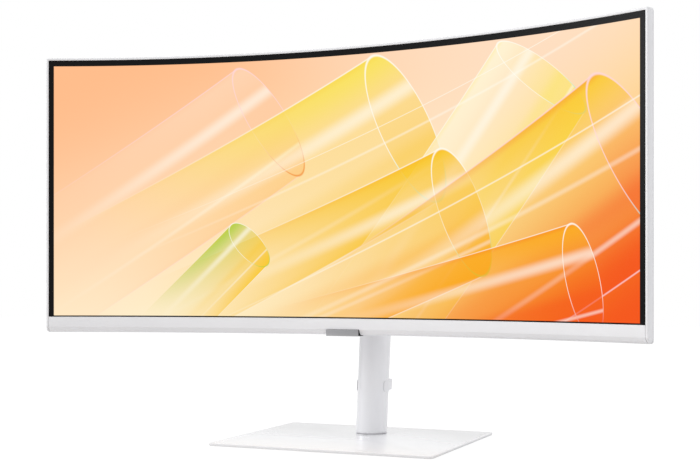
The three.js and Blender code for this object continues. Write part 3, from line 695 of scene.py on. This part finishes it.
def chin_front(z):
    """How far back the chin's outer face lies at a height."""
    if z >= CHIN_FOLD:
        return RIM_FRONT
    if z >= CHIN_KNEE[1]:
        return RIM_FRONT + (CHIN_KNEE[0] - RIM_FRONT) * (CHIN_FOLD - z) / (CHIN_FOLD - CHIN_KNEE[1])
    slope = (CHIN_TOE[0] - CHIN_KNEE[0]) * (CHIN_KNEE[1] - z)
    return CHIN_KNEE[0] + slope / (CHIN_KNEE[1] - HEAD_BOTTOM)


def rim_path(foot_rows):
    """Stations from the left foot over the top to the right foot: each turns an offset into (u, z)."""
    corner = 1.0
    stations = []

    def side(hand, z):
        return lambda n: (hand * (HEAD_HALF + n), min(z, HEAD_TOP + min(n, -corner)))

    def turn(hand, angle):
        centre = (hand * (HEAD_HALF - corner), HEAD_TOP - corner)

        def at(n):
            reach = corner + n
            if reach < 0:
                return centre[0] + hand * reach, centre[1] + reach
            return centre[0] + hand * reach * math.cos(angle), centre[1] + reach * math.sin(angle)
        return at

    def top(u):
        def at(n):
            reach = HEAD_HALF + min(n, -corner)
            return max(-reach, min(u, reach)), HEAD_TOP + n
        return at

    turns = spread(0, math.pi / 2, 6)
    rows = foot_rows + spread(foot_rows[-1] + 20, HEAD_TOP - 12, 10) + [HEAD_TOP - corner]
    stations += [(side(-1, z), z) for z in rows]
    stations += [(turn(-1, angle), HEAD_TOP) for angle in turns[1:-1]]
    reach = HEAD_HALF - corner
    stations += [(top(u), HEAD_TOP) for u in spread(-reach, reach, CURVE_STEPS)]
    stations += [(turn(1, angle), HEAD_TOP) for angle in turns[-2:0:-1]]
    stations += [(side(1, z), z) for z in reversed(rows)]
    return stations


def rim():
    """Three-sided rim with a flat lip, rounded edges and feet that follow the chin's rounded bottom."""
    corner = 4.0
    front = [(-RIM_WALL, 0.35), (-2.85, 0.1), (-2.6, 0), (-0.5, 0), (-0.24, 0.07), (-0.07, 0.24),
             (0, 0.5)]
    back = [(0, -0.4), (-0.12, -0.12), (-0.4, 0), (-2.6, 0), (-2.88, -0.12), (-RIM_WALL, -0.4)]
    foot = [HEAD_BOTTOM + rise for rise in (0.2, 0.45, 0.8, 1.2)]
    foot += [CHIN_KNEE[1], CHIN_KNEE[1] + 0.8, CHIN_KNEE[1] + 1.6, HEAD_BOTTOM + corner]
    foot += [CHIN_FOLD - 1, CHIN_FOLD, CHIN_FOLD + 0.8]
    rings = []
    for station, z in rim_path(foot):
        drop = max(0.0, HEAD_BOTTOM + corner - z)
        width = RIM_WALL - corner + math.sqrt(corner ** 2 - drop ** 2)
        lip = chin_front(z)
        section = [(n, lip + t) for n, t in front] + [(n, RIM_DEPTH + t) for n, t in back]
        ring = []
        for n, t in section:
            u, height = station((n + RIM_WALL) * width / RIM_WALL - RIM_WALL)
            ring.append((u, t, height))
        rings.append(ring)
    wall = loft(rings)
    ledge_near, ledge_far, ledge_front, ledge_back = -2.9, -11.5, 7.4, 9.4
    ledge = ((ledge_near, ledge_front), (ledge_near, ledge_back), (ledge_far, ledge_back),
             (ledge_far, ledge_front))
    ledge_rows = []
    for station, _ in rim_path([PANEL_BOTTOM - GAP, -160]):
        ledge_rows.append([(station(n)[0], t, station(n)[1]) for n, t in ledge])
    add_piece("rim", bent(join(wall, loft(ledge_rows))), HEAD, "head", "white_plastic", "middle_frame")


def chin():
    """The folded strip under the picture: a flat face, a bevel and a turned-under edge."""
    top = PANEL_BOTTOM - GAP
    inner = RIM_FRONT + WALL
    section = filleted([
        (RIM_FRONT, top, 0.25), (RIM_FRONT, CHIN_FOLD, 0.5), (*CHIN_KNEE, 0.8), (*CHIN_TOE, 1.2),
        (RIM_DEPTH, HEAD_BOTTOM, 0.3), (RIM_DEPTH, HEAD_BOTTOM + 2, 0.3), (6.2, HEAD_BOTTOM + 2, 0.6),
        (4, CHIN_FOLD - 3.2, 0.5), (inner, CHIN_FOLD + 1, 0.5), (inner, top - 2, 0.3),
        (6.2, top - 2, 0.3), (6.2, top, 0.3)])
    half = HEAD_HALF - RIM_WALL - GAP
    notch = block(-CONTROL_ROOM, CONTROL_ROOM, -5, 20, HEAD_BOTTOM - 5, CHIN_FOLD)
    add_piece("chin", cut(swept(section, half), notch), HEAD, "head", "white_plastic", "chin_bezel")


# ------------------------------------------------------------------ rear cover
WING_BACK = 29.0
BULGE_BACK = 56.0
WING_LEVELS = [          # half width, bottom, top, depth, corner radius
    (HEAD_HALF - back, HEAD_BOTTOM + back, HEAD_TOP - back, depth, radius)
    for back, depth, radius in ((0, 10.8, 3), (0.7, 12.6, 3), (3.7, 14.5, 4))]
WING_LEVELS += [
    (380.0, -160.0, 150.0, 24.0, 12), (300.0, -136.5, 124.0, WING_BACK, 20)]
SLEEVE = (195.0, -138.0, 124.0, 9.0, 22)
HOUSING = (168.0, -122.0, 104.0, BULGE_BACK, 16)
MOUNT_HALF = 60.0
MOUNT_FLOOR = 46.0
PORT_HALF = 100.0
PORT_WALL = 31.5
PORT_CEILING = -86.0
VENT_COUNT, VENT_PITCH, VENT_DEPTH = 14, 18, 35.75      # vent slots in the housing's top
VENT_SIZE = (13, 3.5)
STICK_HALF, STICK_ROOF = 18.4, -174.2                   # opening for the control stick
BUTTON_HALF, BUTTON_LOW, BUTTON_HIGH = 9, -79, -64.4    # hole for the release button
LOCK_X, LOCK_HALF, LOCK_LOW, LOCK_HIGH = 121.5, 3.5, -80, -77   # slot for a lock


def cover_ring(half, low, high, radius):
    """Points round a rounded rectangle, the same number on each stretch whatever its size."""
    points = []
    stretches = ((half, high, -half, high, 72), (-half, high, -half, low, 24),
                 (-half, low, half, low, 72), (half, low, half, high, 24))
    for quarter, (x0, z0, x1, z1, steps) in enumerate(stretches):
        corner = (x0 - math.copysign(radius, x0), z0 - radius if quarter in (0, 1) else z0 + radius)
        for step in range(8):
            angle = (quarter + step / 8) * math.pi / 2
            points.append((corner[0] + radius * math.cos(angle), corner[1] + radius * math.sin(angle)))
        length = math.hypot(x1 - x0, z1 - z0)
        for step in range(steps):
            share = (radius + (length - 2 * radius) * step / steps) / length
            points.append((x0 + (x1 - x0) * share, z0 + (z1 - z0) * share))
    return np.array(points)


def eased(levels, rounds=3):
    """Cuts the corners off a row of levels, so that a skin over them bends smoothly."""
    rows = [np.array(level, float) for level in levels]
    for _ in range(rounds):
        cuts = [rows[0]]
        for first, second in zip(rows, rows[1:]):
            cuts += [first * 0.75 + second * 0.25, first * 0.25 + second * 0.75]
        rows = [*cuts, rows[-1]]
    return rows


def cover_skin(wall):
    """Rings from the rim to the rear face: wings, a fillet, the housing's slopes and its rounded rim."""
    rings = []
    for half, low, high, depth, radius in eased(WING_LEVELS):
        flat = cover_ring(half - wall, low + wall, high - wall, max(0.6, radius - wall))
        back = depth - wall if depth > 11 else depth
        rings.append(np.array([bend(u, back, z) for u, z in flat]))

    def slope_ring(y):
        share = (y - SLEEVE[3]) / (HOUSING[3] - SLEEVE[3])
        half, low, high, _, radius = (a + (b - a) * share for a, b in zip(SLEEVE, HOUSING))
        return cover_ring(half - wall, low + wall, high - wall, radius - wall)

    outer, inner = slope_ring(SLEEVE[3]), slope_ring(BULGE_BACK)
    wing_radius = RADIUS + WING_BACK - wall

    def on_slope(depth):
        share = ((depth - SLEEVE[3]) / (BULGE_BACK - SLEEVE[3]))[:, None]
        flat = outer + (inner - outer) * share
        return np.stack([flat[:, 0], depth, flat[:, 1]], axis=1)

    depth = np.full(len(outer), 20.0)
    for _ in range(20):
        depth = np.sqrt(wing_radius ** 2 - on_slope(depth)[:, 0] ** 2) - RADIUS
    joint = on_slope(depth)
    outward = (outer - inner) / np.linalg.norm(outer - inner, axis=1, keepdims=True)
    reach = 4.0
    start = joint.copy()
    start[:, [0, 2]] += outward * reach
    start[:, 1] = np.sqrt(wing_radius ** 2 - start[:, 0] ** 2) - RADIUS
    end = on_slope(depth + reach)
    for share in spread(0, 1, 6):
        rings.append(start * (1 - share) ** 2 + joint * 2 * share * (1 - share) + end * share ** 2)
    face = BULGE_BACK - wall
    rounding = 3.5
    last = on_slope(np.full(len(outer), face - rounding))
    edge = on_slope(np.full(len(outer), face))
    for share in spread(0.2, 0.8, 3):
        rings.append(end * (1 - share) + last * share)
    flat = cover_ring(HOUSING[0] - wall - rounding, HOUSING[1] + wall + rounding,
                      HOUSING[2] - wall - rounding, HOUSING[4] - wall - rounding)
    cap = np.stack([flat[:, 0], np.full(len(flat), face), flat[:, 1]], axis=1)
    for share in spread(0, 1, 6):
        rings.append(last * (1 - share) ** 2 + edge * 2 * share * (1 - share) + cap * share ** 2)
    return rings


def pocket(half_width, low, high, radius, y0, y1, x=0.0):
    """A rounded rectangular hole seen from behind, cut along Y."""
    outline = rounded_rectangle(2 * half_width, high - low, radius, 6, (x, (low + high) / 2))
    return lying_along_y(prism(outline, y0, y1))


def cover():
    """Rear cover: a curved shell with recesses for stand and sockets, vents, a button's hole and a slot."""
    shell = loft(cover_skin(0.0)[::-1] + cover_skin(WALL))
    box = MOUNT_HALF + WALL
    mount_box = block(-box, box, MOUNT_FLOOR - WALL, BULGE_BACK - 0.3, -box, box)
    rings = [np.insert(cover_ring(half, low, high, radius), 1, y, axis=1)
             for half, low, high, y, radius in (SLEEVE, HOUSING)]
    port_box = PORT_HALF + WALL
    blank = block(-port_box, port_box, PORT_WALL - WALL, BULGE_BACK + 9, -150, PORT_CEILING + WALL)
    shell = join(shell, mount_box, combined(blank, [loft(rings)], "INTERSECT"))
    below = HEAD_BOTTOM - 5
    plate_half = PORT_HALF - 4
    vents = []
    for k in range(VENT_COUNT):
        middle = ((k - (VENT_COUNT - 1) / 2) * VENT_PITCH, VENT_DEPTH)
        vents.append(prism(rounded_rectangle(*VENT_SIZE, 1.7, 6, middle), 95, 140))
    shell = cut(
        shell, pocket(MOUNT_HALF, -MOUNT_HALF, MOUNT_HALF, 3, MOUNT_FLOOR, 90),
        pocket(PORT_HALF, -150, PORT_CEILING, 2, PORT_WALL, 90),
        block(-plate_half, plate_half, PORT_WALL + 0.6, BULGE_BACK - 3, -90, PORT_CEILING + 4),
        block(-CONTROL_ROOM, CONTROL_ROOM, -5, 16.5, below, CHIN_FOLD),
        block(-STICK_HALF, STICK_HALF, 9, 16.5, below, STICK_ROOF),
        pocket(BUTTON_HALF, BUTTON_LOW, BUTTON_HIGH, 0.8, 50, 60),
        pocket(LOCK_HALF, LOCK_LOW, LOCK_HIGH, 0.8, 50, 60, LOCK_X), *vents)
    add_piece("back_cover", shell, HEAD, "head", "white_plastic", "rear_cover", bevel=0.25)


# ------------------------------------------------------------------ stand
def column_half(front):
    """Plan outline of one half shell: round the outside, and back along the inside."""
    seam = SEAM_Y - GAP if front else SEAM_Y
    lines = []
    for radius in (COLUMN_RADIUS, COLUMN_RADIUS - COLUMN_WALL):
        start = math.asin(seam / radius)
        end = -math.pi - start if front else math.pi - start
        turns = spread(start, end, 64)
        lines.append([(radius * math.cos(turn), radius * math.sin(turn)) for turn in turns])
    outline = lines[0] + lines[1][::-1]
    return outline[::-1] if front else outline


def column():
    """Two half shells with a slot for the carriage in front, a lid and the collar under them."""
    slot_width, slot_length, slot_middle = 15, 170, 265
    slot_outline = rounded_rectangle(slot_width, slot_length, 7.4, 10, (0, slot_middle))
    slot_cut = lying_along_y(prism(slot_outline, -40, -10))
    front = cut(prism(column_half(True), COLUMN_FOOT, COLUMN_TOP), slot_cut)
    rear = prism(column_half(False), COLUMN_FOOT, COLUMN_TOP)
    for name, shell in (("column_front", front), ("column_rear", rear)):
        add_piece(name, leaned(shell), COLUMN, "column", "white_metal", name + "_shell", bevel=0.3)
    lid = prism(circle(COLUMN_RADIUS, ROUND_STEPS), COLUMN_TOP + GAP, COLUMN_TOP + 3, 0.2, top_edge=0.9,
                steps=4)
    plug_outline = circle(COLUMN_RADIUS - COLUMN_WALL - GAP, ROUND_STEPS)
    lid = join(lid, prism(plug_outline, COLUMN_TOP - 6, COLUMN_TOP + 1, 0.3, top_edge=0))
    add_piece("column_lid", leaned(lid), COLUMN, "column", "white_metal", "column_cap")
    ring = prism(circle(COLUMN_RADIUS - 0.3, ROUND_STEPS), 0.35, COLUMN_FOOT - GAP, 0.2)
    collar = cut(ring, prism(circle(12.4), -1, 5))
    add_piece("collar", collar, COLUMN, "column", "white_plastic", "foot_collar")


def clip():
    """Cable clip: two arms along the column's flanks and a loop behind with a mouth for the cable."""
    top = CLIP_BOTTOM + CLIP_HEIGHT
    spine = COLUMN_RADIUS + GAP + CLIP_WALL
    half = CLIP_PASSAGE[0] / 2
    back = spine + CLIP_PASSAGE[1] + CLIP_WALL
    band = prism(circle(COLUMN_RADIUS + GAP + CLIP_BAND, ROUND_STEPS), CLIP_BOTTOM, top)
    loop = prism(rounded_rectangle(2 * (half + CLIP_WALL), back, 4, 8, (0, back / 2)), CLIP_BOTTOM, top)
    hole = prism(circle(COLUMN_RADIUS + GAP, ROUND_STEPS), 0, 100)
    passage_outline = rounded_rectangle(*CLIP_PASSAGE, 2, 6, (0, spine + CLIP_PASSAGE[1] / 2))
    passage = prism(passage_outline, 0, 100)
    mouth_half = 3.5
    mouth = block(-mouth_half, mouth_half, back - 5, back + 5, 0, 100)
    depth, height = CLIP_ROUND
    drawn = [(CLIP_FRONT + depth * (1 - math.sin(turn)), height * (1 - math.cos(turn)))
             for turn in spread(0, math.pi / 2, 16)]
    upper = [(y, top - inward) for y, inward in drawn]
    lower = [(y, CLIP_BOTTOM + inward) for y, inward in reversed(drawn)]
    side = [(60, CLIP_BOTTOM), (60, top), *upper, *lower]
    body = lying_along_x(prism(side, -40, 40))
    shape = combined(cut(join(band, loop), hole, passage, mouth), [body], "INTERSECT")
    add_piece("clip", leaned(shape), COLUMN, "column", "white_plastic", "cable_clip", bevel=0.45)


def base():
    """The base plate, with a rounded rim and a recess for the pivot screw, and its four pads."""
    screw_head, screw_hole = 14, 3.6
    outline = rounded_rectangle(*BASE_SIZE, BASE_CORNER, 12, BASE_MIDDLE)
    plate = prism(outline, -BASE_THICKNESS, 0, 0.5, 4, top_edge=0.7)
    plate = cut(plate, prism(circle(screw_head), -10, -1.4), prism(circle(screw_hole, 32), -10, 10))
    add_piece("foot_plate", plate, COLUMN, "base", "white_gloss", "base_plate")
    for node in ("pad_front_left", "pad_front_right", "pad_back_left", "pad_back_right"):
        low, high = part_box(node)
        middle = ((low + high) / 2 - COLUMN_ORIGIN) / MM
        size = (high - low) / MM
        outline = rounded_rectangle(size.x, size.y, size.y / 2 - 0.1, 12, (middle.x, middle.y))
        bottom = (low.z - COLUMN_ORIGIN.z) / MM
        pad = prism(outline, bottom, bottom + size.z, 0.15, top_edge=0.1)
        add_piece(node + "_rubber", pad, COLUMN, "base", "rubber", node)


# ------------------------------------------------------------------ controls, sockets and the rest
def badge():
    """A blank brushed plate with a bevel, which its finish lightens as a painted highlight."""
    low, high = CONTROL_BOTTOM - 0.2, CHIN_FOLD - 0.2
    outline = rounded_rectangle(2 * CONTROL_HALF, high - low, 0.5, 5, (0, (low + high) / 2))
    plate = lying_along_y(prism(outline, -2.4, -1.2, 0.25))
    add_piece("badge", plate, HEAD, "head", "badge_metal", "badge_plate")


def socket_insides():
    """Tongues, contacts and pins inside the sockets."""
    root = PORT_CEILING + 16.1
    mouth = PORT_CEILING + 2.4

    def bar(name, x, y, width, depth, bottom, slot, edge=0.25):
        outline = rounded_rectangle(width, depth, min(width, depth) / 2.2, 4, (x, y))
        add_piece(name, prism(outline, bottom, root, edge), HEAD, "head", slot)

    def contacts(name, x, y, width, count, bottom):
        points, faces = [], []
        for k in range(count):
            middle = (x + (k - (count - 1) / 2) * width / count, y)
            outline = rounded_rectangle(width / count * 0.55, 0.3, 0.1, 2, middle)
            strip_points, strip_faces = prism(outline, bottom, root, 0.08)
            faces += [[len(points) + corner for corner in face] for face in strip_faces]
            points += list(strip_points)
        add_piece(name, (np.array(points), faces), HEAD, "head", "badge_metal")

    for name, x in (("usb_a_1", -19), ("usb_a_2", -38)):
        bar(name + "_tongue", x, 41.6, 11.4, 1.8, mouth, "black_plastic")
        contacts(name + "_contacts", x, 42.66, 9, 4, mouth + 1.4)
    bar("hdmi_tongue", 42, 42.6, 11.2, 1.3, mouth, "black_plastic")
    contacts("hdmi_contacts", 42, 43.41, 9.6, 10, mouth + 1.2)
    bar("display_tongue", 20, 42.9, 12.6, 1.4, mouth, "black_plastic")
    contacts("display_contacts", 20, 43.76, 10.8, 10, mouth + 1.2)
    contacts("lan_contacts", -60, 38.4, 9, 8, mouth + 1)
    for name, x, y in (("line", 69, 40.3), ("neutral", 83, 40.3), ("earth", 76, 44.3)):
        bar("ac_pin_" + name, x, y, 2.0, 4.0, mouth + 1, "steel", 0.6)


def build_rest():
    """Every CAD node that no piece stands for yet is made again with rounded edges."""
    plain = {"circuit_board": 0.1, "film_white": 0.15, "clear_acrylic": 0.1}
    for node, source in frame["nodes"].items():
        if not source.hide_render:
            refined(node, plain.get(SLOT_OF[node], 0.2))


# ------------------------------------------------------------------ studio
ROOM_LEVEL = 0.03           # how bright the room is all round, seen from the object
ROOM_SIDES = [              # and what its sides add: axis, direction along it, brightness
    (0, 1, 0.66), (0, -1, 0.22), (1, 1, 0.75), (1, -1, 0.47), (2, 1, 0.66)]


def area_light(name, place, target, size, energy):
    data = bpy.data.lights.new(name, "AREA")
    data.shape = "RECTANGLE"
    data.size, data.size_y = size
    data.energy = energy
    light = bpy.data.objects.new(name, data)
    bpy.context.scene.collection.objects.link(light)
    light.location = place
    light.rotation_euler = (Vector(target) - Vector(place)).to_track_quat("-Z", "Y").to_euler()


def backdrop_share(tree):
    """1 where the white backdrop itself is looked at, 0 where it only lights the object."""
    return Signal(tree, tree.nodes.new("ShaderNodeLightPath").outputs["Is Camera Ray"])


def room():
    """A pale room whose walls and ceiling are of unequal brightness."""
    world = bpy.data.worlds.new("studio")
    world.use_nodes = True
    tree = world.node_tree
    direction = tree.nodes.new("ShaderNodeTexCoord")
    split = tree.nodes.new("ShaderNodeSeparateXYZ")
    tree.links.new(direction.outputs["Generated"], split.inputs[0])
    glow = ROOM_LEVEL
    for axis, sign, level in ROOM_SIDES:
        glow = (Signal(tree, split.outputs[axis]) * sign).op("MAXIMUM", 0.0) * level + glow
    seen = backdrop_share(tree)
    plug(tree, (1, 1, 1), tree.nodes["Background"].inputs[0])
    plug(tree, glow * (seen * -1.0 + 1.0) + seen, tree.nodes["Background"].inputs[1])
    bpy.context.scene.world = world


LAMPS = [                   # name, place, what it faces, size in metres, watts
    ("key", (-2.4, -1.2, 1.3), (0, 0, 0.25), (1.2, 1.8), 38),
    ("overhead", (-0.4, 0.3, 2.6), (0, 0, 0), (2.2, 2.2), 24)]
FLOOR_HALF = 4000           # in mm
FLOOR_COLOUR = (0.62, 0.62, 0.62)
FLOOR_SEEN = (0.25, 0.25, 0.25)     # dimmer, with a glow of its own, so that it meets the backdrop
FLOOR_GLOW = 0.80


def floor():
    """A plain pale floor that runs into the backdrop."""
    steps = spread(-FLOOR_HALF, FLOOR_HALF, 8)
    rows = [[(x, y, 0) for x in steps] for y in steps]
    sheet = as_object(loft(rows, closed=False), "floor", MM)
    material = surface("floor", FLOOR_COLOUR, 0.7, 2.0, 0.02, 0.01)
    tree = material.node_tree
    shader = next(node for node in tree.nodes if node.type == "BSDF_PRINCIPLED")
    shader.inputs["Specular IOR Level"].default_value = 0.0
    shader.inputs["Emission Color"].default_value = (1, 1, 1, 1)
    seen = backdrop_share(tree)
    plug(tree, blend_colours(tree, seen, FLOOR_COLOUR, FLOOR_SEEN), shader.inputs["Base Color"])
    plug(tree, seen * FLOOR_GLOW, shader.inputs["Emission Strength"])
    sheet.data.materials.append(material)


def studio():
    bpy.context.scene.view_settings.view_transform = "Standard"
    room()
    for lamp in LAMPS:
        area_light(*lamp)
    floor()


# ------------------------------------------------------------------ build
add_camera()
FINISH.update(finishes())
SLOT_OF = {name: node.data.materials[0].name for name, node in frame["nodes"].items()}
for node_name, node_object in frame["nodes"].items():
    node_object.material_slots[0].material = FINISH[SLOT_OF[node_name]]
panel()
panel_layers()
rim()
chin()
cover()
column()
clip()
base()
badge()
socket_insides()
build_rest()
studio()
